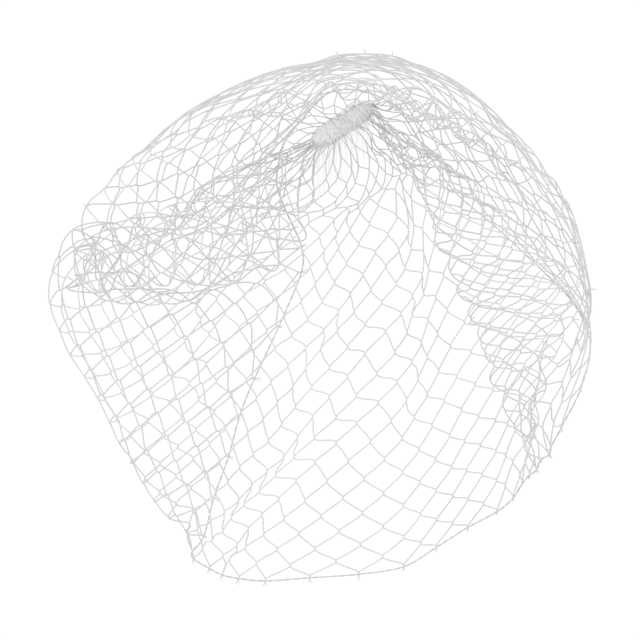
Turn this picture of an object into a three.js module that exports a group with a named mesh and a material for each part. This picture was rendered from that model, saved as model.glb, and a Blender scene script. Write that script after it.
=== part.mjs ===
// Net fascinator: a strip of coarse diamond net, gathered onto a hair comb, that puffs up round the comb
// and hangs in front as a face veil.
// Millimetres. X is the wearer's left to right as seen from the front, Y runs back, Z is up.
// The origin is the middle of the gathered heading, where the comb pins on.
import * as THREE from "three";

// Overall form of the veil
const HALF_SPREAD = 135; // sideways reach that the section table counts in
const DROP = 223; // heading down to the lowest hem
const PUFF = 100; // forward reach that the section table counts in

// Net
const NET_THICKNESS = 1.6;
const STRAND_WIDTH = 4.6; // strands are wider only where a gap would pass WIDEST_GAP
const WIDEST_GAP = 26.5; // between facing strands of one diamond
const NET_COLUMNS = 22; // diamonds round the veil
const GATHERED_ROWS = 4; // half rows next to the heading that are gathered shut
const OPEN_ROWS = 6; // half rows of open diamonds
const GATHERED_SHARE = 0.39; // share of the net's width that the gathered rows take
const GATHER_DEPTH = 2.4; // height of the pleats in the gathered rows
const CLOSED_SHARE = 0.6; // size of the filled middle of a gathered diamond

// Gathered heading
const HEADING_LENGTH = 39;
const END_SHARPNESS = 6; // the higher, the squarer the heading's round ends
const HEADING_RADIUS = 4.2;
const HEADING_RIBS = 15;
const RIB_DEPTH = 0.45;
const HEADING_SIDES = 14;

// Hem cord
const CORD_RADIUS = 0.9;
const CORD_SIDES = 6;
const CORD_STEPS = 96;
const CORD_OPENING = 0.012; // share of the way round that stays open behind the heading

// Hair comb
const COMB_LENGTH = 38;
const COMB_THICKNESS = 1.4;
const SPINE_HEIGHT = 3.6;
const TOOTH_LENGTH = 30;
const TOOTH_COUNT = 10;
const TOOTH_SHARE = 0.5; // share of the pitch that a tooth fills
const TOOTH_TAPER = 0.5; // width at a tooth's tip, as a share of its root

const CLEARANCE = 0.3; // gap between pieces that touch
const EDGE_ROOM = 1.5; // net thicknesses from the heading's skin to the middle of the gathered edge
const PROBE = 0.002; // share of the net over which its directions are measured

// The heading runs to the upper right and back. The teeth point back and down.
const ALONG = new THREE.Vector3(0.73, 0.47, 0.49).normalize();
const TEETH = new THREE.Vector3(0.1, 0.75, -0.65);
TEETH.addScaledVector(ALONG, -TEETH.dot(ALONG)).normalize();
const ACROSS = new THREE.Vector3().crossVectors(ALONG, TEETH);

// Sections of the net, in order round the heading, from the top over the left side.
// The columns: ring is the angle on the heading, in degrees from its right end, where the section starts.
// near is where the net stands off the heading, turn where it turns back or bulges most, and hem its
// free edge, all as [x, y, z] shares of HALF_SPREAD, PUFF and DROP. back is the y share halfway from
// turn to hem, and sag lowers that point, as a share of DROP.
const COLUMNS = ["name", "ring", "near", "turn", "hem", "back", "sag"];
const ROWS = [
  ["top", 60, [0, -0.64, 0.07], [0, -0.18, 0.14], [0, 0.2, 0.08], 0.42, 0],
  ["top left", 82, [-0.21, -0.62, 0.05], [-0.39, -0.15, 0.08], [-0.12, 0.16, 0.03], 0.38, 0.09],
  ["upper left", 100, [-0.43, -0.58, -0.02], [-0.74, -0.14, -0.07], [-0.22, 0.08, -0.05], 0.15, 0.13],
  ["left shoulder", 118, [-0.42, -0.5, -0.1], [-0.9, -0.3, -0.17], [-0.25, -0.08, -0.13], -0.16, 0.11],
  ["left pleat, low", 135, [-0.2, -0.45, -0.32], [-1, -0.36, -0.38], [-0.18, -0.2, -0.24], -0.26, 0.07],
  ["left pleat, high", 150, [-0.5, -0.6, -0.15], [-0.98, -0.24, -0.22], [-0.15, -0.1, -0.31], -0.08, 0.09],
  ["left", 166, [-0.66, -0.64, -0.24], [-1.07, -0.3, -0.38], [-0.32, -0.2, -0.56], -0.16, 0.03],
  ["left, low", 180, [-0.76, -0.7, -0.24], [-1, -0.42, -0.51], [-0.38, -0.24, -0.64], -0.24, 0.02],
  ["left fold", 190, [-0.67, -0.76, -0.27], [-0.88, -0.48, -0.62], [-0.42, -0.3, -0.72], -0.32, 0],
  ["left fold, low", 200, [-0.58, -0.8, -0.29], [-0.77, -0.56, -0.75], [-0.48, -0.38, -0.82], -0.42, 0],
  ["left fold, end", 210, [-0.5, -0.84, -0.32], [-0.67, -0.62, -0.84], [-0.51, -0.46, -0.9], -0.52, 0],
  ["corner", 222, [-0.39, -0.8, -0.32], [-0.45, -0.92, -0.64], [-0.53, -0.6, -0.96], -0.84, 0],
  ["front left", 238, [-0.13, -0.66, -0.25], [-0.19, -0.96, -0.52], [-0.31, -0.84, -1], -0.98, 0],
  ["front", 255, [0, -0.62, -0.22], [-0.01, -0.97, -0.46], [-0.05, -0.9, -0.99], -1.04, 0],
  ["front right", 271, [0.09, -0.64, -0.21], [0.16, -0.98, -0.45], [0.18, -0.9, -0.98], -1.06, 0],
  ["right crease", 286, [0.21, -0.7, -0.18], [0.32, -0.98, -0.42], [0.35, -0.72, -0.93], -1.04, 0],
  ["right front", 300, [0.33, -0.78, -0.17], [0.49, -1, -0.41], [0.56, -0.56, -0.85], -0.98, 0],
  ["right pleat, outer", 314, [0.52, -0.76, -0.14], [0.82, -0.72, -0.36], [0.67, -0.45, -0.79], -0.82, 0],
  ["right pleat, inner", 326, [0.3, -0.54, -0.15], [0.41, -0.62, -0.37], [0.73, -0.38, -0.74], -0.66, 0],
  ["right side", 338, [0.5, -0.5, -0.15], [0.85, -0.42, -0.41], [0.81, -0.28, -0.66], -0.36, 0],
  ["right hem", 350, [0.53, -0.5, -0.09], [0.86, -0.28, -0.24], [0.91, -0.16, -0.48], -0.2, 0],
  ["upper right", 362, [0.46, -0.58, -0.03], [0.74, -0.18, -0.1], [0.66, 0.04, -0.29], 0.08, 0],
  ["right shoulder", 380, [0.3, -0.62, 0.03], [0.53, -0.15, 0.04], [0.38, 0.14, -0.12], 0.28, 0],
  ["top right", 400, [0.16, -0.64, 0.07], [0.32, -0.16, 0.12], [0.21, 0.2, 0.03], 0.38, 0],
];
const SECTIONS = ROWS.map((row) => Object.fromEntries(COLUMNS.map((column, n) => [column, row[n]])));

const NET_ROWS = GATHERED_ROWS + OPEN_ROWS + 1;
const HALF_COLUMNS = 2 * NET_COLUMNS;
const LAST_GATHERED = GATHERED_ROWS + 1; // the row of knots where the open diamonds begin

// Share of the net's width at half row j: the gathered rows are closer together than the open ones.
function rowShare(j) {
  if (j <= LAST_GATHERED) return (GATHERED_SHARE * j) / LAST_GATHERED;
  return GATHERED_SHARE + ((1 - GATHERED_SHARE) * (j - LAST_GATHERED)) / (NET_ROWS - LAST_GATHERED);
}

// Place of an [x, y, z] list of shares.
function placed([x, y, z]) {
  return new THREE.Vector3(x * HALF_SPREAD, y * PUFF, z * DROP);
}

// Share of its full thickness that the heading has at a share of its half length.
function headingFullness(along) {
  return Math.sqrt(Math.max(0, 1 - Math.abs(along) ** END_SHARPNESS));
}

// Point of the net's gathered edge, close round the heading.
function ringPoint(degrees) {
  const angle = THREE.MathUtils.degToRad(degrees);
  const margin = CLEARANCE + EDGE_ROOM * NET_THICKNESS;
  const along = Math.cos(angle);
  const across = (HEADING_RADIUS + margin) * headingFullness(along) * Math.sign(Math.sin(angle));
  return ALONG.clone().multiplyScalar((HEADING_LENGTH / 2 + margin) * along).addScaledVector(ACROSS, across);
}

// Smooth value between b and c, which lie at the parameters t[1] and t[2], with a and d beyond them.
function blend(a, b, c, d, t, at) {
  const slope = (p, q, r, i) => {
    const before = q.clone().sub(p).divideScalar(t[i] - t[i - 1]);
    const after = r.clone().sub(q).divideScalar(t[i + 1] - t[i]);
    return before.lerp(after, (t[i] - t[i - 1]) / (t[i + 1] - t[i - 1]));
  };
  const span = t[2] - t[1];
  const s = (at - t[1]) / span;
  const start = slope(a, b, c, 1).multiplyScalar(span);
  const end = slope(b, c, d, 2).multiplyScalar(span);
  return b
    .clone()
    .multiplyScalar(2 * s ** 3 - 3 * s ** 2 + 1)
    .addScaledVector(start, s ** 3 - 2 * s ** 2 + s)
    .addScaledVector(c, 3 * s ** 2 - 2 * s ** 3)
    .addScaledVector(end, s ** 3 - s ** 2);
}

// The points that one section runs through, from the heading to the hem, and their shares of its length.
function sectionCourse(section) {
  const turn = placed(section.turn);
  const hem = placed(section.hem);
  const back = turn.clone().lerp(hem, 0.5).setY(section.back * PUFF);
  back.z -= section.sag * DROP;
  const points = [ringPoint(section.ring), placed(section.near), turn, back, hem];
  const lengths = [0];
  for (let k = 1; k < points.length; k++) lengths.push(lengths[k - 1] + points[k].distanceTo(points[k - 1]));
  return { points, shares: lengths.map((length) => length / lengths.at(-1)), turn, hem };
}

const COURSES = SECTIONS.map(sectionCourse);

// Share of the way round at which each section stands: the strip is as long as its longer edge there.
const AROUND = [0];
for (let k = 0; k < COURSES.length; k++) {
  const here = COURSES[k];
  const next = COURSES[(k + 1) % COURSES.length];
  AROUND.push(AROUND[k] + Math.max(here.turn.distanceTo(next.turn), here.hem.distanceTo(next.hem)));
}
const NET_LENGTH = AROUND.at(-1);

// Point of one section at a share of its length.
function alongSection({ points, shares }, v) {
  const last = points.length - 1;
  let k = 0;
  while (k < last - 1 && v > shares[k + 1]) k++;
  const first = points[0].clone().multiplyScalar(2).sub(points[1]);
  const beyond = points[last].clone().multiplyScalar(2).sub(points[last - 1]);
  const p = [first, ...points, beyond];
  const t = [-shares[1], ...shares, 2 - shares[last - 1]];
  return blend(p[k], p[k + 1], p[k + 2], p[k + 3], t.slice(k, k + 4), v);
}

// Point of the net's middle surface: u is the share of the way round, v the share from heading to hem.
function netPoint(u, v) {
  const count = COURSES.length;
  const length = (u - Math.floor(u)) * NET_LENGTH;
  let k = 0;
  while (k < count - 1 && length > AROUND[k + 1]) k++;
  const place = (n) => AROUND[(n + count) % count] + Math.floor(n / count) * NET_LENGTH;
  const point = (n) => alongSection(COURSES[(n + count) % count], v);
  const t = [place(k - 1), place(k), place(k + 1), place(k + 2)];
  return blend(point(k - 1), point(k), point(k + 1), point(k + 2), t, length);
}

// Unit direction across the net's surface.
function netNormal(u, v) {
  const sideways = netPoint(u + PROBE, v).sub(netPoint(u - PROBE, v));
  const downward = netPoint(u, v + PROBE).sub(netPoint(u, v - PROBE));
  return sideways.cross(downward).normalize();
}

// Height of the pleats: ridges on the even half columns, hollows on the odd ones, none at the heading.
function pleatHeight(i, v) {
  if (v <= 0 || v >= GATHERED_SHARE) return 0;
  return GATHER_DEPTH * Math.sin((Math.PI * v) / GATHERED_SHARE) * Math.cos(Math.PI * i);
}

// Collects the net's two faces and its edges as triangles.
class NetShell {
  constructor() {
    this.positions = [];
    this.triangles = [];
    this.count = 0;
  }

  // Adds the point at half column i and half row j, on both faces of the net.
  point(i, j) {
    const u = i / HALF_COLUMNS;
    const v = rowShare(j);
    const middle = netPoint(u, v);
    const normal = netNormal(u, v);
    middle.addScaledVector(normal, pleatHeight(i, v));
    for (const side of [0.5, -0.5]) {
      this.positions.push(...middle.clone().addScaledVector(normal, side * NET_THICKNESS));
    }
    return this.count++;
  }

  // Covers a flat polygon of points, given clockwise seen from the face's outside, on both faces.
  cover(...points) {
    for (let n = 1; n < points.length - 1; n++) {
      const [a, b, c] = [points[0], points[n], points[n + 1]];
      this.triangles.push(2 * a, 2 * b, 2 * c, 2 * a + 1, 2 * c + 1, 2 * b + 1);
    }
  }

  // Closes the edge along a run of points.
  edge(...points) {
    for (let n = 1; n < points.length; n++) {
      const [a, b] = [points[n - 1], points[n]];
      this.triangles.push(2 * a, 2 * a + 1, 2 * b, 2 * b, 2 * a + 1, 2 * b + 1);
    }
  }

  geometry() {
    const geometry = new THREE.BufferGeometry();
    geometry.setAttribute("position", new THREE.Float32BufferAttribute(this.positions, 3));
    geometry.setIndex(this.triangles);
    geometry.computeVertexNormals();
    return geometry;
  }
}

// Share of a diamond that is left inside its strands, from the size of the diamond on the veil.
function openShare(i, j) {
  const centre = netPoint(i / HALF_COLUMNS, rowShare(j));
  const halfWidth = netPoint((i + 1) / HALF_COLUMNS, rowShare(j)).distanceTo(centre);
  const halfHeight = netPoint(i / HALF_COLUMNS, rowShare(j - 1)).distanceTo(centre);
  const reach = (halfWidth * halfHeight) / Math.hypot(halfWidth, halfHeight);
  const gap = Math.min(2 * reach - STRAND_WIDTH, WIDEST_GAP);
  return Math.max(gap / (2 * reach), CLOSED_SHARE / 2);
}

// The outline of the diamond round half column i and half row j: its corners and the middles of its sides.
function diamond(shell, i, j) {
  const share = j > GATHERED_ROWS ? openShare(i, j) : CLOSED_SHARE;
  const at = (di, dj) => shell.point(i + di * share, j + dj * share);
  const outline = { left: at(-1, 0), right: at(1, 0) };
  if (j > 0) {
    outline.up = at(0, -1);
    outline.upLeft = at(-0.5, -0.5);
    outline.upRight = at(0.5, -0.5);
  }
  if (j < NET_ROWS) {
    outline.down = at(0, 1);
    outline.downLeft = at(-0.5, 0.5);
    outline.downRight = at(0.5, 0.5);
  }
  return outline;
}

// The net as one closed solid: strands between the diamonds and knots where strands meet.
function buildNet() {
  const shell = new NetShell();
  const diamonds = new Map();
  const key = (i, j) => `${(i + HALF_COLUMNS) % HALF_COLUMNS},${j}`;
  const cell = (i, j) => diamonds.get(key(i, j));
  for (let j = 0; j <= NET_ROWS; j++) {
    for (let i = (j + 1) % 2; i < HALF_COLUMNS; i += 2) diamonds.set(key(i, j), diamond(shell, i, j));
  }
  for (let j = 0; j <= NET_ROWS; j++) {
    for (let i = j % 2; i < HALF_COLUMNS; i += 2) {
      const left = cell(i - 1, j);
      const right = cell(i + 1, j);
      const above = j > 0 ? cell(i, j - 1).down : shell.point(i, 0);
      const below = j < NET_ROWS ? cell(i, j + 1).up : shell.point(i, NET_ROWS + tipShare());
      shell.cover(left.right, above, right.left, below);
      if (j === 0) shell.edge(left.right, above, right.left);
      if (j === NET_ROWS) {
        shell.edge(right.left, below, left.right);
        continue;
      }
      const under = cell(i, j + 1);
      shell.cover(under.up, right.left, right.downLeft, under.upRight);
      shell.cover(under.upRight, right.downLeft, right.down, under.right);
      shell.cover(left.right, under.up, under.upLeft, left.downRight);
      shell.cover(left.downRight, under.upLeft, under.left, left.down);
    }
  }
  for (const [place, d] of diamonds) {
    const [i, j] = place.split(",").map(Number);
    if (j === 0) shell.edge(d.left, d.downLeft, d.down, d.downRight, d.right);
    else if (j === NET_ROWS) shell.edge(d.right, d.upRight, d.up, d.upLeft, d.left);
    else {
      const ring = [d.left, d.upLeft, d.up, d.upRight, d.right, d.downRight, d.down, d.downLeft];
      if (j > GATHERED_ROWS) shell.edge(...ring.slice().reverse(), ring.at(-1));
      else {
        const centre = shell.point(i, j);
        ring.forEach((point, n) => shell.cover(centre, point, ring[(n + 1) % ring.length]));
      }
    }
  }
  return shell.geometry();
}

// How far a knot's tip reaches past the last half row, in half rows.
function tipShare() {
  const rowHeight = (DROP * (1 - GATHERED_SHARE)) / (NET_ROWS - LAST_GATHERED);
  return STRAND_WIDTH / 2 / rowHeight;
}

// The cord that edges the free side of the net, just past the knots' tips.
class HemCurve extends THREE.Curve {
  getPoint(t) {
    const u = CORD_OPENING / 2 + t * (1 - CORD_OPENING);
    const end = netPoint(u, 1);
    const outward = netPoint(u, 1 + PROBE).sub(end).normalize();
    return end.addScaledVector(outward, STRAND_WIDTH / 2 + CLEARANCE + 2 * CORD_RADIUS);
  }
}

function buildHemCord() {
  const outline = new THREE.Shape();
  for (let n = 0; n < CORD_SIDES; n++) {
    const angle = (2 * Math.PI * n) / CORD_SIDES;
    const [x, y] = [CORD_RADIUS * Math.cos(angle), CORD_RADIUS * Math.sin(angle)];
    if (n === 0) outline.moveTo(x, y);
    else outline.lineTo(x, y);
  }
  outline.closePath();
  const options = { steps: CORD_STEPS, extrudePath: new HemCurve(), bevelEnabled: false };
  return new THREE.ExtrudeGeometry(outline, options);
}

// The gathered heading: a ribbed roll with round ends, turned about its own length.
function buildHeading() {
  const steps = HEADING_RIBS * 2;
  const half = HEADING_LENGTH / 2;
  const profile = [];
  for (let n = 0; n <= steps; n++) {
    const along = (2 * n) / steps - 1;
    const rib = n % 2 ? 0 : RIB_DEPTH;
    profile.push(new THREE.Vector2((HEADING_RADIUS - rib) * headingFullness(along), half * along));
  }
  return new THREE.LatheGeometry(profile, HEADING_SIDES);
}

// The comb's flat outline: a spine with tapered teeth below it.
function buildComb() {
  const pitch = COMB_LENGTH / TOOTH_COUNT;
  const outline = new THREE.Shape();
  outline.moveTo(-COMB_LENGTH / 2, 0);
  for (let n = 0; n < TOOTH_COUNT; n++) {
    const middle = -COMB_LENGTH / 2 + (n + 0.5) * pitch;
    const root = (pitch * TOOTH_SHARE) / 2;
    const tip = root * TOOTH_TAPER;
    outline.lineTo(middle - root, SPINE_HEIGHT);
    outline.lineTo(middle - tip, SPINE_HEIGHT + TOOTH_LENGTH);
    outline.lineTo(middle + tip, SPINE_HEIGHT + TOOTH_LENGTH);
    outline.lineTo(middle + root, SPINE_HEIGHT);
  }
  outline.lineTo(COMB_LENGTH / 2, 0);
  outline.closePath();
  return new THREE.ExtrudeGeometry(outline, { depth: COMB_THICKNESS, bevelEnabled: false });
}

function piece(name, geometry, color, roughness) {
  const mesh = new THREE.Mesh(geometry, new THREE.MeshStandardMaterial({ color, roughness }));
  mesh.name = name;
  return mesh;
}

const fascinator = new THREE.Group();

const heading = piece("gathered_heading", buildHeading(), 0xc9c9c9, 0.85);
heading.quaternion.setFromUnitVectors(new THREE.Vector3(0, 1, 0), ALONG);
fascinator.add(heading);

const comb = piece("hair_comb", buildComb(), 0xd8d8d6, 0.4);
comb.quaternion.setFromRotationMatrix(new THREE.Matrix4().makeBasis(ALONG, TEETH, ACROSS));
comb.position.copy(TEETH).multiplyScalar(HEADING_RADIUS + CLEARANCE);
comb.position.addScaledVector(ACROSS, -COMB_THICKNESS / 2);
fascinator.add(comb);

fascinator.add(piece("veil_net", buildNet(), 0xc4c4c4, 0.7));
fascinator.add(piece("hem_cord", buildHemCord(), 0xb4b4b4, 0.7));

export default fascinator;
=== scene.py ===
# Net fascinator: a face veil of coarse diamond net, gathered onto a hair comb.
# Metres. X is left to right in the photograph, Y runs back, Z is up. The heading's middle is the origin.
import math

import bpy
import numpy as np
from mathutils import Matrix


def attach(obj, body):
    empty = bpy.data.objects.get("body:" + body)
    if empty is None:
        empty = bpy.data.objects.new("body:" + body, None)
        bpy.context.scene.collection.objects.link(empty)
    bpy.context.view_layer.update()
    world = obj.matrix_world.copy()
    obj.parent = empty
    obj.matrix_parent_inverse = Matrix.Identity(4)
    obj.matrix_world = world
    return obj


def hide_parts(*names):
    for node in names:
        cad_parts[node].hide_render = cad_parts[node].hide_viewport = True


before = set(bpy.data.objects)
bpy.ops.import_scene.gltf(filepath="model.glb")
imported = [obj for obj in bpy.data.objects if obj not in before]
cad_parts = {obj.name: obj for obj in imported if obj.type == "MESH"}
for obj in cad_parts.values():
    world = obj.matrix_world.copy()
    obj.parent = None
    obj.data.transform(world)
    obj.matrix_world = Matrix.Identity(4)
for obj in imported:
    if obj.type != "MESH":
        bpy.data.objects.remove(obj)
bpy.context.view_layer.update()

MM = 0.001
TINY = 1e-9  # keeps a vector of no length from dividing by zero

# Photograph
PHOTO_SIZE = 640
PHOTO_MIDDLE = (320, 320)
COMB_PIXEL = (343, 122)  # where the heading's middle is
PIXEL = 0.49 * MM
CAMERA_DISTANCE = 5.0
SENSOR = 36.0
SCALE_PLANE = -0.06  # the depth at which a pixel is PIXEL wide
FARTHEST_SEEN = 50

# Form of the veil, in millimetres, as the solids have it
HALF_SPREAD = 135.0
DROP = 223.0
PUFF = 100.0
HEADING_LENGTH = 39.0
HEADING_RADIUS = 4.2
END_SHARPNESS = 6
RING_MARGIN = -0.6  # threads start just inside the heading

# Sections of the net round the heading, the same rows as the solids have. The columns are: name; angle on
# the heading in degrees; near point, turn and hem as shares of HALF_SPREAD, PUFF and DROP; how far back the
# point between turn and hem lies, as a share of PUFF; how far it sags, as a share of DROP.
SECTIONS = [
    ("top", 60, (0, -0.64, 0.07), (0, -0.18, 0.14), (0, 0.2, 0.08), 0.42, 0),
    ("top left", 82, (-0.21, -0.62, 0.05), (-0.39, -0.15, 0.08), (-0.12, 0.16, 0.03), 0.38, 0.09),
    ("upper left", 100, (-0.43, -0.58, -0.02), (-0.74, -0.14, -0.07), (-0.22, 0.08, -0.05), 0.15, 0.13),
    ("left shoulder", 118, (-0.42, -0.5, -0.1), (-0.9, -0.3, -0.17), (-0.25, -0.08, -0.13), -0.16, 0.11),
    ("left pleat, low", 135, (-0.2, -0.45, -0.32), (-1, -0.36, -0.38), (-0.18, -0.2, -0.24), -0.26, 0.07),
    ("left pleat, high", 150, (-0.5, -0.6, -0.15), (-0.98, -0.24, -0.22), (-0.15, -0.1, -0.31), -0.08, 0.09),
    ("left", 166, (-0.66, -0.64, -0.24), (-1.07, -0.3, -0.38), (-0.32, -0.2, -0.56), -0.16, 0.03),
    ("left, low", 180, (-0.76, -0.7, -0.24), (-1, -0.42, -0.51), (-0.38, -0.24, -0.64), -0.24, 0.02),
    ("left fold", 190, (-0.67, -0.76, -0.27), (-0.88, -0.48, -0.62), (-0.42, -0.3, -0.72), -0.32, 0),
    ("left fold, low", 200, (-0.58, -0.8, -0.29), (-0.77, -0.56, -0.75), (-0.48, -0.38, -0.82), -0.42, 0),
    ("left fold, end", 210, (-0.5, -0.84, -0.32), (-0.67, -0.62, -0.84), (-0.51, -0.46, -0.9), -0.52, 0),
    ("corner", 222, (-0.39, -0.8, -0.32), (-0.45, -0.92, -0.64), (-0.53, -0.6, -0.96), -0.84, 0),
    ("front left", 238, (-0.13, -0.66, -0.25), (-0.19, -0.96, -0.52), (-0.31, -0.84, -1), -0.98, 0),
    ("front", 255, (0, -0.62, -0.22), (-0.01, -0.97, -0.46), (-0.05, -0.9, -0.99), -1.04, 0),
    ("front right", 271, (0.09, -0.64, -0.21), (0.16, -0.98, -0.45), (0.18, -0.9, -0.98), -1.06, 0),
    ("right crease", 286, (0.21, -0.7, -0.18), (0.32, -0.98, -0.42), (0.35, -0.72, -0.93), -1.04, 0),
    ("right front", 300, (0.33, -0.78, -0.17), (0.49, -1, -0.41), (0.56, -0.56, -0.85), -0.98, 0),
    ("right pleat, outer", 314, (0.52, -0.76, -0.14), (0.82, -0.72, -0.36), (0.67, -0.45, -0.79), -0.82, 0),
    ("right pleat, inner", 326, (0.3, -0.54, -0.15), (0.41, -0.62, -0.37), (0.73, -0.38, -0.74), -0.66, 0),
    ("right side", 338, (0.5, -0.5, -0.15), (0.85, -0.42, -0.41), (0.81, -0.28, -0.66), -0.36, 0),
    ("right hem", 350, (0.53, -0.5, -0.09), (0.86, -0.28, -0.24), (0.91, -0.16, -0.48), -0.2, 0),
    ("upper right", 362, (0.46, -0.58, -0.03), (0.74, -0.18, -0.1), (0.66, 0.04, -0.29), 0.08, 0),
    ("right shoulder", 380, (0.3, -0.62, 0.03), (0.53, -0.15, 0.04), (0.38, 0.14, -0.12), 0.28, 0),
    ("top right", 400, (0.16, -0.64, 0.07), (0.32, -0.16, 0.12), (0.21, 0.2, 0.03), 0.38, 0),
]

# Diamonds from each section to the next
COLUMNS_TO_NEXT = [
    1.8, 2.2, 2.6, 2.0, 1.8, 2.0,
    1.0, 0.9, 1.1, 0.9, 1.9, 2.3,
    1.9, 1.8, 1.8, 2.6, 2.2, 3.0,
    2.7, 2.0, 2.2, 2.0, 1.6, 1.6,
]
COLUMNS = round(sum(COLUMNS_TO_NEXT))
HALF = 2 * COLUMNS  # half columns round the veil: every second row of knots is set over by one

# Thread net, in millimetres
MESH_SIDE = 12.0
HALF_ROWS = 29  # from the heading to the hem
FLATTEST = 0.42  # least height of a half row, as a share of the mesh side
THREAD_RADIUS = 0.39
TIGHT_SHARE = 0.68  # width of the threads where the heading pulls them tight, as a share of the rest
TIGHT_ROWS = 6  # half rows over which they widen
THREAD_SEGMENTS = 6
THREAD_SIDES = 5
KNOT_LENGTH = 1.2
KNOT_RADIUS = 0.44
KNOT_REACH = 0.62  # how far a knot's mesh reaches each way, in knot lengths
KNOT_TAPER = 0.88  # 0 gives a knot plain ends, 1 pointed ones
KNOT_POINTS = 5
KNOT_SIDES = 6
BOW_LIMIT = 2.2  # furthest that a strand that is pressed together bows aside
BOW_GIVE = 2.1  # how much shorter its way can be before it does
BOW_ROUNDNESS = 1.5  # 1 is a plain arc, and more leaves the ends straighter

# Hem thread and its tails, in millimetres
CORD_RADIUS = 0.28
CORD_TWIST = 9.0  # length of one turn of the doubled thread
CORD_CLOSENESS = 0.85  # how far each thread lies from the cord's middle, in its own radii
CORD_STEPS = 8  # from one knot to the next
CORD_SIDES = 6
TAIL_LENGTH = 2.6
TAIL_VARIATION = 0.3
TAIL_RADIUS = 0.2
TAIL_SLANTS = (-0.25, 0.3)
TAIL_POINTS = 4
TAIL_SIDES = 5

# Lattice of knots, and how it is relaxed
GRID = 121  # steps from heading to hem on which the surface is measured
COLUMN_SMOOTHING = 12  # passes, as below
ROW_SMOOTHING = 6
STRAY_SMOOTHING = 4
ROUGHNESS = 0.5  # how far knots stray from an even net, in millimetres
RELAX_STEPS = 150
RELAX_GAIN = 1.6
LONG_PULL = 0.5  # share of its error that a step takes from a strand that is too long
SHORT_PUSH = 0.15  # and from one that is too short
SURFACE_HOLD = 0.5  # share of a knot's way off the surface that a step takes back
PLACE_HOLD = 0.03  # and of its way along the surface
HEM_HOLD = 0.6  # and of a hem knot's way from its place

# Ruffles, where the net is longer than the surface that it lies on
RUFFLES = 24  # round the whole veil
OPEN_COLUMN = 8.6  # width that a half column takes away from the heading, in millimetres
RUFFLE_START = 0.03  # shares of the net's width over which the ruffles grow
RUFFLE_FULL = 0.2
RUFFLE_LIMIT = 5.0
RUFFLE_SMOOTHING = 8
RUFFLE_DRIFT = 0.9  # how unevenly they follow each other, in radians
DRIFT_SMOOTHING = 60
TURN_RUFFLE = 0.7  # share of a ruffle that stays at the turn, which makes the outline
TURN_RUFFLE_SPREAD = 0.13  # share of the net's width that this reaches
HEM_RUFFLE = 0.15  # share of a ruffle that stays at the hem
HEM_FADE = 6  # higher keeps the fading closer to the hem
SMOOTH_FRONT = (0.53, 0.1)  # middle and half width of the front, where the net hangs smooth
FRONT_RUFFLE = 0.12  # share of a ruffle that the front keeps

# Stiff knots where the net turns back, in millimetres
TURN_PEAK = 3.8  # how far they stand out
TURN_SPREAD = 0.07  # share of the net's width over which they do
STUB_LENGTH = 3.8  # longest of the short stubs on them
STUB_RADIUS = 0.3
STUB_FACING = 0.6  # no stubs where the net faces the front more than this
STUB_POINTS = 3
STUB_SIDES = 5

# Two creases, and the hollow below the heading. The columns are: middle as a share of the way round; how
# far it slides sideways over the net's whole width; half width in half columns; depth in millimetres; how
# hard it draws the columns together; the shares of the net's width where it starts and ends.
CREASES = [
    (0.572, 0.0, 1.6, 9.0, 0.88, 0.24, 0.78),
    (0.535, -0.05, 1.3, 6.0, 0.45, 0.35, 0.85),
    (0.53, 0.0, 13.0, 10.0, 0.0, 0.0, 0.26),
]
CREASE_GROWTH = 0.08  # share of the net's width over which a crease starts and ends
PINCH_REACH = 1.7  # how far out a crease draws columns in, in its own half widths
COLUMN_STRETCH = 1.3  # half columns for each share of the way round at the front, against the mean

# Where columns of diamonds slide round the veil: middle and half width as shares of the way round, and how
# far, in half columns. The first grows to the hem. The second is most at the share of the width given last.
HEM_LEAN = (0.525, 0.05, -3.5)
HEADING_LEAN = (0.54, 0.09, 3.0, 0.1)

# Bunched net of the heading, in millimetres
BUNCH_SWELL = 1.22  # it stands this much further out than the solid core
ROLL_STEPS = 90
ROLL_SIDES = 48
LUMPS_ALONG = (0.14, 58)  # height, and radians from the middle to an end
LUMPS_ROUND = (0.12, 9)  # height, and count
LUMP_WANDER = (2, 3, 7)  # how the lumps wander: swing and bends of the first, slant of the second

# Threads wound round the heading: count, radius, how far a winding leans as a share of the heading's half
# length, and how far out it lies against the bunched net. First the bunched threads, then the whip stitches.
HEADING_THREADS = [
    (120, 0.22, 0.15, 1.06),
    (14, 0.26, 0.08, 1.1),
]
WINDING_POINTS = 25
WINDING_SIDES = 6
WINDING_WAVER = (0.05, 3)  # how far their radius wavers, as a share of it, and how often
WINDING_SCATTER = 0.2  # against the distance from one winding to the next
WINDING_COVER = 0.95  # share of the heading's length that their middles cover
WINDING_END = 0.985  # share that none goes past

ROUGHNESS_SPREAD = 0.08  # either way, on the threads

# Studio, in metres and watts
FLOOR_LEVEL = -0.5
FLOOR_REACH = 4.0
FLOOR_GREY = 0.97
WORLD_STRENGTH = 1.03
LIGHT_SIZE = 1.6
LIGHT_AIM = (0, 0, -0.1)
LIGHTS = [
    ("key", (-1.2, -1.6, 1.4), 6),
    ("fill", (1.6, -1.2, 0.6), 3),
]

RNG = np.random.default_rng(7)


def unit(v):
    v = np.asarray(v, float)
    return v / (np.linalg.norm(v, axis=-1, keepdims=True) + TINY)


def hump(x):
    """1 at zero, falling smoothly to nothing on both sides."""
    return np.exp(-(x**2))


def repeated(v, points):
    """One vector for each tube, repeated at each of its points."""
    return v[:, None] * np.ones((1, points, 1))


def hermite(p0, p1, t0, t1, s):
    """Curve from p0 to p1 that leaves along t0 and arrives along t1, at the shares s."""
    start = p0 * (2 * s**3 - 3 * s**2 + 1) + t0 * (s**3 - 2 * s**2 + s)
    return start + p1 * (3 * s**2 - 2 * s**3) + t1 * (s**3 - s**2)


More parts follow.
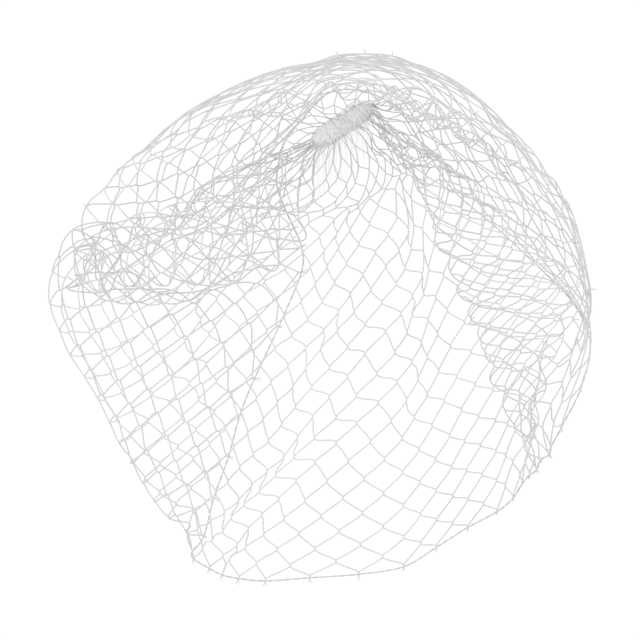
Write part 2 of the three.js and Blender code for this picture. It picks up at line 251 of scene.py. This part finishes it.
# The heading lies along one direction, and the comb's teeth point across it, back and down
TEETH_AIM = np.array((0.1, 0.75, -0.65))
ALONG = unit((0.73, 0.47, 0.49))
TEETH = unit(TEETH_AIM - ALONG * TEETH_AIM.dot(ALONG))
ACROSS = np.cross(ALONG, TEETH)


def heading_fullness(along):
    """The heading's radius as a share of its full one: along is -1 at one end and 1 at the other."""
    return np.sqrt(np.maximum(0, 1 - np.abs(along) ** END_SHARPNESS))


def heading_point(along, angle, radius):
    ring = np.cos(angle)[..., None] * ACROSS + np.sin(angle)[..., None] * TEETH
    return (along * HEADING_LENGTH / 2)[..., None] * ALONG + radius[..., None] * ring


def ring_point(degrees):
    """Point of the net's gathered edge, close round the heading."""
    angle = math.radians(degrees)
    along = math.cos(angle)
    across = (HEADING_RADIUS + RING_MARGIN) * heading_fullness(along) * np.sign(math.sin(angle))
    return ALONG * (HEADING_LENGTH / 2 + RING_MARGIN) * along + ACROSS * across


def section_courses():
    """The points that each section runs through, one more beyond each end, and their shares of its length."""
    points, shares = [], []
    for _, ring, near, turn, hem, back, sag in SECTIONS:
        near, turn, hem = (np.array(p) * (HALF_SPREAD, PUFF, DROP) for p in (near, turn, hem))
        middle = (turn + hem) / 2
        middle[1] = back * PUFF
        middle[2] -= sag * DROP
        p = np.array([ring_point(ring), near, turn, middle, hem])
        length = np.concatenate([[0], np.cumsum(np.linalg.norm(np.diff(p, axis=0), axis=1))])
        s = length / length[-1]
        points.append(np.concatenate([[2 * p[0] - p[1]], p, [2 * p[-1] - p[-2]]]))
        shares.append(np.concatenate([[-s[1]], s, [2 - s[-2]]]))
    return np.array(points), np.array(shares)


NEAR, TURN, HEM = 2, 3, 5  # which of a section's points these are
POINTS, SHARES = section_courses()
COUNT = len(SECTIONS)


def gap_to_next(column):
    return np.linalg.norm(POINTS[:, column] - np.roll(POINTS[:, column], -1, 0), axis=1)


AROUND = np.concatenate([[0], np.cumsum(np.maximum(gap_to_next(TURN), gap_to_next(HEM)))])
NET_LENGTH = AROUND[-1]


def blend(p, t, at):
    """Smooth value between p[1] and p[2], which lie at the parameters t[1] and t[2]."""

    def slope(i):
        before = (p[i] - p[i - 1]) / (t[i] - t[i - 1])[:, None]
        after = (p[i + 1] - p[i]) / (t[i + 1] - t[i])[:, None]
        return before + (after - before) * ((t[i] - t[i - 1]) / (t[i + 1] - t[i - 1]))[:, None]

    span = (t[2] - t[1])[:, None]
    return hermite(p[1], p[2], slope(1) * span, slope(2) * span, (at - t[1])[:, None] / span)


def along_section(n, v):
    n = n % COUNT
    k = (v[:, None] > SHARES[n, NEAR:HEM]).sum(1)
    p = np.array([POINTS[n, k + m] for m in range(4)])
    t = np.array([SHARES[n, k + m] for m in range(4)])
    return blend(p, t, v)


def net_point(u, v):
    """Points of the net's middle surface: u is the share of the way round, v from heading to hem."""
    u, v = np.broadcast_arrays(np.asarray(u, float), np.asarray(v, float))
    shape = u.shape
    u, v = u.ravel(), v.ravel()
    length = (u - np.floor(u)) * NET_LENGTH
    k = np.clip(np.searchsorted(AROUND, length) - 1, 0, COUNT - 1)
    around = (-1, 0, 1, 2)
    t = np.array([AROUND[(k + m) % COUNT] + np.floor((k + m) / COUNT) * NET_LENGTH for m in around])
    p = np.array([along_section(k + m, v) for m in around])
    return blend(p, t, length).reshape(shape + (3,))


def around_step(p, reach=1):
    """From the half column before to the one after, on a lattice that is closed round the veil."""
    return np.roll(p, -reach, 0) - np.roll(p, reach, 0)


def column_gap(p):
    return np.linalg.norm(around_step(p), axis=2) / 2


def normals(p, reach):
    """Unit normals of a lattice, pointing into the veil."""
    return unit(np.cross(around_step(p, reach), np.gradient(p, axis=1)))


def smoothed(field, passes):
    """A field on the lattice, closed round the veil, smoothed both ways."""
    for _ in range(passes):
        field = (np.roll(field, 1, 0) + 2 * field + np.roll(field, -1, 0)) / 4
        field[:, 1:-1] = (field[:, :-2] + 2 * field[:, 1:-1] + field[:, 2:]) / 4
    return field


def column_places():
    """Share of the way round at which each half column stands."""
    edge = np.concatenate([[0], np.cumsum(COLUMNS_TO_NEXT)]) / sum(COLUMNS_TO_NEXT)
    u = np.interp(np.arange(HALF) / HALF, edge, AROUND / NET_LENGTH)
    for _ in range(COLUMN_SMOOTHING):
        before, after = np.roll(u, 1), np.roll(u, -1)
        before[0] -= 1
        after[-1] += 1
        u = (before + 2 * u + after) / 4
    return u


def turn_share():
    """Share of the net's width at which each half column turns back."""
    return np.interp(PLACES % 1, AROUND / NET_LENGTH, np.append(SHARES[:, TURN], SHARES[0, TURN]))


def crease_places(v):
    """For each crease: distance in half columns, how far it has grown, half width, depth and pinch."""
    for middle, slide, half_width, depth, pinch, first, last in CREASES:
        away = (PLACES[:, None] - middle - slide * (v - first)) * HALF * COLUMN_STRETCH
        grown = np.clip((v - first) / CREASE_GROWTH, 0, 1) * np.clip((last - v) / CREASE_GROWTH, 0, 1)
        yield away, grown, half_width, depth, pinch


def lean(v):
    """How far round the columns slide on their way to the hem and into the creases, in half columns."""
    middle, width, amount = HEM_LEAN
    total = amount * hump((PLACES[:, None] - middle) / width) * v
    middle, width, amount, peak = HEADING_LEAN
    total += amount * hump((PLACES[:, None] - middle) / width) * v / peak * np.exp(1 - v / peak)
    for away, grown, half_width, _, pinch in crease_places(v):
        total -= pinch * grown * away * hump(away / half_width / PINCH_REACH)
    return total


def ruffle_size(v, p):
    """Half the height of the ruffles: they take up spare length, less in front, at the turn and hem."""
    across = column_gap(p)
    grown = np.clip((v - RUFFLE_START) / (RUFFLE_FULL - RUFFLE_START), 0, 1)[None, :]
    spare = np.maximum((OPEN_COLUMN * grown / np.maximum(across, 1)) ** 2 - 1, 0)
    wave = across * HALF / RUFFLES
    height = np.minimum(np.sqrt(2 * spare) * wave / (2 * np.pi), RUFFLE_LIMIT)
    middle, half_width = SMOOTH_FRONT
    front = 1 - (1 - FRONT_RUFFLE) * hump(((PLACES - middle) / half_width) ** 2)[:, None]
    outline = 1 - (1 - TURN_RUFFLE) * hump((v - turn_share()[:, None]) / TURN_RUFFLE_SPREAD)
    hem = 1 - (1 - HEM_RUFFLE) * v**HEM_FADE
    return smoothed(height * front * outline * hem, RUFFLE_SMOOTHING)


def ruffles():
    """How far ruffles and creases move the net off its surface, on a grid of half columns and widths."""
    v = np.linspace(0, 1, GRID)
    p = net_point(PLACES[:, None], v[None, :])
    size = ruffle_size(v, p)
    drift = smoothed(RNG.normal(size=size.shape), DRIFT_SMOOTHING)
    phase = 2 * np.pi * RUFFLES * (np.arange(HALF) / HALF)[:, None] + drift / drift.std() * RUFFLE_DRIFT
    height = size * (1 + np.sin(phase))
    for away, grown, half_width, depth, _ in crease_places(v):
        height = height + depth * grown * hump(away / half_width)
    return height[..., None] * normals(p, 2)


def ruffled_point(column, v):
    """Points of the net with its ruffles, at a half column and a share of the width."""
    column, v = np.broadcast_arrays(column % HALF, v)
    u = np.interp(column, np.arange(HALF + 1), np.append(PLACES, PLACES[0] + 1))
    row = v * (GRID - 1)
    i, j = np.floor(column).astype(int), np.minimum(np.floor(row).astype(int), GRID - 2)
    s, t = (column - i)[..., None], (row - j)[..., None]
    i, after = i % HALF, (i + 1) % HALF
    low = RUFFLE[i, j] * (1 - s) + RUFFLE[after, j] * s
    high = RUFFLE[i, j + 1] * (1 - s) + RUFFLE[after, j + 1] * s
    return net_point(u, v) + low * (1 - t) + high * t


def first_lattice():
    """Knots on the net's surface, in rows as far apart as the mesh side and the columns' spacing leave."""
    i = np.arange(HALF)
    v = np.linspace(0, 1, GRID)
    p = ruffled_point(i[:, None], v[None, :])
    step = np.linalg.norm(np.diff(p, axis=1), axis=2)
    height = np.sqrt(np.maximum(MESH_SIDE**2 - column_gap(p) ** 2, (FLATTEST * MESH_SIDE) ** 2))
    rows = np.cumsum(step * 2 / (height[:, 1:] + height[:, :-1]), axis=1)
    rows = np.concatenate([np.zeros((HALF, 1)), rows], axis=1)
    share = np.array([np.interp(ROW_SHARES * rows[n, -1], rows[n], v) for n in range(HALF)])
    for _ in range(ROW_SMOOTHING):
        share = (np.roll(share, 1, 0) + 2 * share + np.roll(share, -1, 0)) / 4
    return ruffled_point(i[:, None] + lean(share), share)


def all_strands():
    """For each strand, the half column and half row of its upper knot, and the way that it slants."""
    strands = []
    for j in range(HALF_ROWS):
        for i in range(j % 2, HALF, 2):
            strands += [(i, j, 1), (i, j, -1)]
    return np.array(strands)


def relaxed(start, normal):
    """Lattice with all its strands drawn to the mesh side, held to the surface and to both edges."""
    count = np.zeros(start.shape[:2])
    np.add.at(count, UPPER, 1)
    np.add.at(count, LOWER, 1)
    count = np.maximum(count, 1)[..., None]
    p = start.copy()
    for _ in range(RELAX_STEPS):
        d = p[LOWER] - p[UPPER]
        length = np.linalg.norm(d, axis=1, keepdims=True)
        pull = np.where(length > MESH_SIDE, LONG_PULL, SHORT_PUSH) * (length - MESH_SIDE) / length * d
        move = np.zeros_like(p)
        np.add.at(move, UPPER, pull)
        np.add.at(move, LOWER, -pull)
        p += RELAX_GAIN * move / count
        off = start - p
        out = (off * normal).sum(2, keepdims=True) * normal
        p += SURFACE_HOLD * out + PLACE_HOLD * (off - out)
        p[:, 0] = start[:, 0]
        p[:, -1] += HEM_HOLD * (start[:, -1] - p[:, -1])
    return p


ROW_SHARES = np.arange(HALF_ROWS + 1) / HALF_ROWS
STRAND_COLUMN, STRAND_ROW, STRAND_WAY = all_strands().T
UPPER = (STRAND_COLUMN, STRAND_ROW)
LOWER = ((STRAND_COLUMN + STRAND_WAY) % HALF, STRAND_ROW + 1)

PLACES = column_places()
RUFFLE = ruffles()
START = first_lattice()
NORMAL = normals(START, 1)
STRAY = smoothed(RNG.normal(size=START.shape), STRAY_SMOOTHING)
KNOTS = relaxed(START + STRAY * ROUGHNESS / STRAY.std(), NORMAL)
AT_TURN = (ROW_SHARES - turn_share()[:, None]) / TURN_SPREAD
KNOTS -= (TURN_PEAK * hump(AT_TURN) * RNG.random(AT_TURN.shape))[..., None] * NORMAL
DOWN = unit(np.gradient(KNOTS, axis=1))


def placed(name, data):
    obj = bpy.data.objects.new(name, data)
    bpy.context.scene.collection.objects.link(obj)
    return obj


def mesh_object(name, vertices, faces, uvs):
    """A smooth-shaded mesh piece from arrays: vertices in millimetres, quads, and one uv for each corner."""
    mesh = bpy.data.meshes.new(name)
    mesh.vertices.add(len(vertices))
    mesh.vertices.foreach_set("co", (np.asarray(vertices) * MM).astype(np.float32).ravel())
    mesh.loops.add(faces.size)
    mesh.loops.foreach_set("vertex_index", faces.ravel().astype(np.int32))
    mesh.polygons.add(len(faces))
    mesh.polygons.foreach_set("loop_start", np.arange(0, faces.size, 4, dtype=np.int32))
    layer = mesh.uv_layers.new(name="UVMap")
    layer.data.foreach_set("uv", uvs.astype(np.float32).ravel())
    mesh.polygons.foreach_set("use_smooth", np.ones(len(faces), bool))
    mesh.update(calc_edges=True)
    mesh.validate()
    return placed(name, mesh)


def ring_faces(first, sides):
    """Quads between rings of vertices that follow each other: first holds each ring's first vertex."""
    k = np.arange(sides)
    after = (k + 1) % sides
    faces = np.stack([first + k, first + after, first + sides + after, first + sides + k], -1)
    return faces.reshape(-1, 4)


def tube_uvs(path, sides):
    """A tube's uvs: millimetres along it, and shares of the way round it."""
    length = np.cumsum(np.linalg.norm(np.diff(path, axis=1), axis=2), axis=1)
    length = np.concatenate([np.zeros((len(path), 1)), length], axis=1)
    k = np.arange(sides)
    low, high = length[:, :-1, None] * np.ones(sides), length[:, 1:, None] * np.ones(sides)
    v0, v1 = np.broadcast_to(k / sides, low.shape), np.broadcast_to((k + 1) / sides, low.shape)
    uvs = np.stack([np.stack(p, -1) for p in ((low, v0), (low, v1), (high, v1), (high, v0))], -2)
    return uvs.reshape(-1, 4, 2)


def tubes(path, radius, up, sides):
    """Round tubes along many paths: path and up are (tubes, points, 3), radius fits (tubes, points)."""
    count, points = path.shape[:2]
    tangent = unit(np.gradient(path, axis=1))
    side = unit(np.cross(tangent, up))
    up = np.cross(side, tangent)
    angle = 2 * np.pi * np.arange(sides) / sides
    radius = np.broadcast_to(radius, (count, points))[:, :, None, None]
    ring = side[:, :, None] * np.cos(angle)[:, None] + up[:, :, None] * np.sin(angle)[:, None]
    vertices = (path[:, :, None] + radius * ring).reshape(-1, 3)
    first = np.arange(count * points).reshape(count, points)[:, :-1, None] * sides
    return vertices, ring_faces(first, sides), tube_uvs(path, sides)


def joined(parts):
    """Several (vertices, faces, uvs) as one."""
    offset, vertices, faces, uvs = 0, [], [], []
    for v, f, t in parts:
        vertices.append(v)
        faces.append(f + offset)
        uvs.append(t)
        offset += len(v)
    return np.concatenate(vertices), np.concatenate(faces), np.concatenate(uvs)


def strand_bows(start, end):
    """Strands with spare length bow aside: a flat arc's height follows from its chord and that length."""
    chord = np.linalg.norm(end - start, axis=1)
    spare = np.maximum(MESH_SIDE - KNOT_LENGTH - BOW_GIVE - chord, 0)
    bow = np.minimum(np.sqrt(3 / 8 * chord * spare), BOW_LIMIT)
    aside = unit(np.cross(NORMAL[UPPER], end - start))
    turn = RNG.uniform(0, 2 * np.pi, len(bow))[:, None]
    aside = np.cos(turn) * aside + np.sin(turn) * NORMAL[UPPER]
    swell = np.sin(np.linspace(0, np.pi, THREAD_SEGMENTS + 1)) ** BOW_ROUNDNESS
    return (bow[:, None] * aside)[:, None] * swell[:, None]


def strand_paths():
    """Each strand leaves the lower end of one knot and enters the upper end of the next."""
    i, j, way = STRAND_COLUMN, STRAND_ROW, STRAND_WAY
    upper, lower = KNOTS[UPPER], KNOTS[LOWER]
    before = KNOTS[(i - way) % HALF, np.maximum(j - 1, 0)]
    before = np.where((j > 0)[:, None], before, 2 * upper - lower)
    beyond = KNOTS[(i + 2 * way) % HALF, np.minimum(j + 2, HALF_ROWS)]
    beyond = np.where((j + 2 <= HALF_ROWS)[:, None], beyond, 2 * lower - upper)
    start = upper + DOWN[UPPER] * KNOT_LENGTH / 2
    end = lower - DOWN[LOWER] * KNOT_LENGTH / 2
    ends = start, end, (lower - before) / 2, (beyond - upper) / 2
    s = np.linspace(0, 1, THREAD_SEGMENTS + 1)[None, :, None]
    return hermite(*(q[:, None] for q in ends), s) + strand_bows(start, end)


def net_threads():
    row = STRAND_ROW[:, None] + np.linspace(0, 1, THREAD_SEGMENTS + 1)
    radius = THREAD_RADIUS * (TIGHT_SHARE + (1 - TIGHT_SHARE) * np.minimum(row / TIGHT_ROWS, 1))
    return tubes(strand_paths(), radius, repeated(NORMAL[UPPER], THREAD_SEGMENTS + 1), THREAD_SIDES)


def knots():
    """The short doubled stretches where two strands meet."""
    i, j = np.meshgrid(np.arange(HALF), np.arange(HALF_ROWS + 1), indexing="ij")
    use = ((i + j) % 2 == 0) & (j > 0)
    along = np.linspace(-KNOT_REACH, KNOT_REACH, KNOT_POINTS)[None, :, None] * KNOT_LENGTH
    radius = KNOT_RADIUS * np.sqrt(1 - (np.linspace(-1, 1, KNOT_POINTS) * KNOT_TAPER) ** 2)
    path = KNOTS[use][:, None] + DOWN[use][:, None] * along
    return tubes(path, radius[None], repeated(NORMAL[use], KNOT_POINTS), KNOT_SIDES)


def stubs():
    """Short stubs that stick out of the fold, on the knots where the net turns back."""
    i = np.arange(HALF)
    j = np.argmin(np.abs(AT_TURN), axis=1)
    j += (i + j) % 2
    seen = np.abs(NORMAL[i, j, 1]) < STUB_FACING
    i, j = i[seen], j[seen]
    reach = STUB_LENGTH * RNG.random(len(i))[:, None, None] * np.linspace(0, 1, STUB_POINTS)[None, :, None]
    path = KNOTS[i, j][:, None] - NORMAL[i, j][:, None] * reach
    return tubes(path, STUB_RADIUS, repeated(DOWN[i, j], STUB_POINTS), STUB_SIDES)


def closed_curve(points, per_span):
    """Smooth curve through points that runs back to the first, which is repeated at its end."""
    t0 = around_step(points) / 2
    ends = points, np.roll(points, -1, 0), t0, np.roll(t0, -1, 0)
    s = np.linspace(0, 1, per_span + 1)[None, :, None]
    curve = hermite(*(q[:, None] for q in ends), s)[:, :-1].reshape(-1, 3)
    return np.concatenate([curve, curve[:1]])


def hem_cord():
    """The hem: two threads twisted round each other through the last row of knots, with short tails."""
    i = np.arange(HALF_ROWS % 2, HALF, 2)
    knot_end = KNOTS[i, -1] + DOWN[i, -1] * KNOT_LENGTH / 2
    centre = closed_curve(knot_end, CORD_STEPS)
    out = closed_curve(NORMAL[i, -1], CORD_STEPS)
    length = np.concatenate([[0], np.cumsum(np.linalg.norm(np.diff(centre, axis=0), axis=1))])
    turns = round(length[-1] / CORD_TWIST)
    side = np.cross(unit(np.gradient(centre, axis=0)), unit(out))
    angle = 2 * np.pi * turns * length / length[-1]
    parts = []
    for phase in (0, np.pi):
        swing = np.cos(angle + phase)[:, None] * side + np.sin(angle + phase)[:, None] * unit(out)
        path = centre + CORD_RADIUS * CORD_CLOSENESS * swing
        parts.append(tubes(path[None], CORD_RADIUS, out[None], CORD_SIDES))
    reach = TAIL_LENGTH * (1 - TAIL_VARIATION + 2 * TAIL_VARIATION * RNG.random(len(i)))
    reach = reach[:, None, None] * np.linspace(0, 1, TAIL_POINTS)[None, :, None]
    sideways = unit(np.cross(DOWN[i, -1], NORMAL[i, -1]))
    for slant in TAIL_SLANTS:
        path = knot_end[:, None] + unit(DOWN[i, -1] + slant * sideways)[:, None] * reach
        parts.append(tubes(path, TAIL_RADIUS, repeated(NORMAL[i, -1], TAIL_POINTS), TAIL_SIDES))
    return joined(parts)


def heading_roll():
    """The bunched net: a lumpy roll round the heading's own length."""
    along = np.sin(np.linspace(-np.pi / 2, np.pi / 2, ROLL_STEPS))
    angle = 2 * np.pi * np.arange(ROLL_SIDES) / ROLL_SIDES
    a, t = np.meshgrid(along, angle, indexing="ij")
    swing, bends, slant = LUMP_WANDER
    lumps = LUMPS_ALONG[0] * np.sin(a * LUMPS_ALONG[1] + swing * np.sin(bends * t))
    lumps += LUMPS_ROUND[0] * np.sin(t * LUMPS_ROUND[1] + slant * a)
    radius = (HEADING_RADIUS * BUNCH_SWELL + lumps) * heading_fullness(a)
    faces = ring_faces(np.arange(ROLL_STEPS - 1)[:, None] * ROLL_SIDES, ROLL_SIDES)
    return heading_point(a, t, radius).reshape(-1, 3), faces, np.zeros((len(faces), 4, 2))


def heading_threads():
    """Bunched threads round the roll, and the whip stitches that hold it to the comb."""
    parts = []
    for count, thread, tilt, stand in HEADING_THREADS:
        scatter = RNG.normal(size=count) * WINDING_SCATTER / count
        place = (np.arange(count) + 0.5) / count * 2 - 1 + scatter
        t = np.linspace(0, 2 * np.pi, WINDING_POINTS)[None, :]
        phase = RNG.random(count)[:, None] * 2 * np.pi
        along = place[:, None] * WINDING_COVER + tilt * np.sin(t + phase)
        along = np.clip(along, -WINDING_END, WINDING_END)
        waver, waves = WINDING_WAVER
        swell = BUNCH_SWELL * (stand + waver * np.sin(waves * t + phase))
        path = heading_point(along, t, HEADING_RADIUS * swell * heading_fullness(along))
        parts.append(tubes(path, thread, ALONG * np.ones(path.shape), WINDING_SIDES))
    return joined(parts)


def new_material(name):
    material = bpy.data.materials.new(name)
    material.use_nodes = True
    nodes = material.node_tree.nodes
    return material, nodes, material.node_tree.links, nodes["Principled BSDF"]


def cloudy(nodes, links, scale, detail):
    """Noise in the piece's own space."""
    place = nodes.new("ShaderNodeTexCoord")
    cloud = nodes.new("ShaderNodeTexNoise")
    cloud.inputs["Scale"].default_value = scale
    cloud.inputs["Detail"].default_value = detail
    links.new(place.outputs["Object"], cloud.inputs["Vector"])
    return cloud.outputs["Fac"]


def twist_bands(nodes, links, twists):
    """Bands that slant round a thread: the uvs are in millimetres along it."""
    place = nodes.new("ShaderNodeTexCoord")
    scaled = nodes.new("ShaderNodeMapping")
    scaled.inputs["Scale"].default_value = (twists, 2, 1)
    links.new(place.outputs["UV"], scaled.inputs["Vector"])
    bands = nodes.new("ShaderNodeTexWave")
    bands.bands_direction = "DIAGONAL"
    bands.inputs["Scale"].default_value = 1
    bands.inputs["Distortion"].default_value = 0.4
    links.new(scaled.outputs["Vector"], bands.inputs["Vector"])
    return bands.outputs["Fac"]


def set_colour(nodes, links, shader, value, dark, light):
    """Base colour between dark and light, fed by a value from 0 to 1."""
    ramp = nodes.new("ShaderNodeValToRGB")
    for element, position, colour in zip(ramp.color_ramp.elements, (0.3, 0.7), (dark, light)):
        element.position = position
        element.color = (*colour, 1)
    links.new(value, ramp.inputs["Fac"])
    links.new(ramp.outputs["Color"], shader.inputs["Base Color"])


def set_roughness(nodes, links, shader, value, low, high):
    rough = nodes.new("ShaderNodeMapRange")
    rough.inputs["To Min"].default_value = low
    rough.inputs["To Max"].default_value = high
    links.new(value, rough.inputs["Value"])
    links.new(rough.outputs["Result"], shader.inputs["Roughness"])


def set_bump(nodes, links, shader, value, strength, distance):
    bump = nodes.new("ShaderNodeBump")
    bump.inputs["Strength"].default_value = strength
    bump.inputs["Distance"].default_value = distance
    links.new(value, bump.inputs["Height"])
    links.new(bump.outputs["Normal"], shader.inputs["Normal"])


def thread_material(name, dark, light, roughness, twists):
    """Smooth twisted nylon thread: uneven pale grey, and its twist as a low bump."""
    material, nodes, links, shader = new_material(name)
    uneven = cloudy(nodes, links, scale=45, detail=4)
    set_colour(nodes, links, shader, uneven, (dark,) * 3, (light,) * 3)
    low, high = roughness - ROUGHNESS_SPREAD, roughness + ROUGHNESS_SPREAD
    set_roughness(nodes, links, shader, uneven, low, high)
    set_bump(nodes, links, shader, twist_bands(nodes, links, twists), strength=0.2, distance=0.1 * MM)
    shader.inputs["Sheen Weight"].default_value = 0.15
    return material


def plastic_material():
    """Milky comb plastic with faint flow marks."""
    material, nodes, links, shader = new_material("milky_plastic")
    cloud = cloudy(nodes, links, scale=120, detail=3)
    set_colour(nodes, links, shader, cloud, (0.94, 0.94, 0.93), (0.98, 0.98, 0.98))
    set_roughness(nodes, links, shader, cloud, 0.22, 0.4)
    set_bump(nodes, links, shader, cloud, strength=0.15, distance=0.2 * MM)
    shader.inputs["IOR"].default_value = 1.49
    return material


def dress(obj, material, slot, *nodes):
    """Gives a piece its material, puts it on the veil and hides the solids that it stands for."""
    obj.data.materials.append(material)
    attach(obj, "root")
    if nodes:
        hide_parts(*nodes)


def make_camera():
    data = bpy.data.cameras.new("camera")
    camera = placed("camera", data)
    x = (PHOTO_MIDDLE[0] - COMB_PIXEL[0]) * PIXEL
    z = (COMB_PIXEL[1] - PHOTO_MIDDLE[1]) * PIXEL
    camera.location = (x, -CAMERA_DISTANCE, z)
    camera.rotation_euler = (math.pi / 2, 0, 0)
    data.sensor_width = SENSOR
    data.lens = SENSOR * (CAMERA_DISTANCE + SCALE_PLANE) / (PHOTO_SIZE * PIXEL)
    data.clip_end = FARTHEST_SEEN
    bpy.context.scene.camera = camera


def area_light(name, place, power):
    data = bpy.data.lights.new(name, "AREA")
    data.shape = "DISK"
    data.size = LIGHT_SIZE
    data.energy = power
    light = placed(name, data)
    light.location = place
    x, y, z = np.array(LIGHT_AIM, float) - np.array(place, float)
    light.rotation_euler = (math.atan2(np.hypot(x, y), -z), 0, math.atan2(y, x) - math.pi / 2)


def make_lights():
    """White light from all round and two wide lights. The plain view transform keeps white white."""
    world = bpy.data.worlds.new("studio")
    world.use_nodes = True
    background = world.node_tree.nodes["Background"]
    background.inputs["Color"].default_value = (1, 1, 1, 1)
    background.inputs["Strength"].default_value = WORLD_STRENGTH
    bpy.context.scene.world = world
    bpy.context.scene.view_settings.view_transform = "Standard"
    for name, place, power in LIGHTS:
        area_light(name, place, power)


def make_stage():
    """A plain pale floor below the veil."""
    corners = [(-1, -1), (1, -1), (1, 1), (-1, 1)]
    vertices = [(x * FLOOR_REACH, y * FLOOR_REACH, FLOOR_LEVEL) for x, y in corners]
    mesh = bpy.data.meshes.new("floor")
    mesh.from_pydata(vertices, [], [(0, 1, 2, 3)])
    floor = placed("floor", mesh)
    material, _, _, shader = new_material("pale_floor")
    shader.inputs["Base Color"].default_value = (FLOOR_GREY, FLOOR_GREY, FLOOR_GREY, 1)
    shader.inputs["Roughness"].default_value = 0.9
    mesh.materials.append(material)


make_camera()
make_lights()
make_stage()

NET_THREAD = thread_material("net_thread", 0.63, 0.71, 0.5, 1.2)
HEM_THREAD = thread_material("hem_thread", 0.56, 0.64, 0.55, 1.0)
# The heading is bunched net thread, given a paler grey than the net's: painted light that fills in the shade
# among its bunched threads.
PAINTED_PALE_HEADING_THREAD = thread_material("heading_thread_painted_pale", 0.85, 0.89, 0.6, 1.2)

dress(mesh_object("net_threads", *net_threads()), NET_THREAD, "net", "veil_net")
dress(mesh_object("net_knots", *joined([knots(), stubs()])), NET_THREAD, "net")
dress(mesh_object("hem_thread", *hem_cord()), HEM_THREAD, "cord", "hem_cord")
dress(mesh_object("heading_roll", *heading_roll()), PAINTED_PALE_HEADING_THREAD, "heading_net", "gathered_heading")
dress(mesh_object("heading_stitches", *heading_threads()), PAINTED_PALE_HEADING_THREAD, "heading_net")

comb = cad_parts["hair_comb"]
comb.data.materials.clear()
comb.data.materials.append(plastic_material())
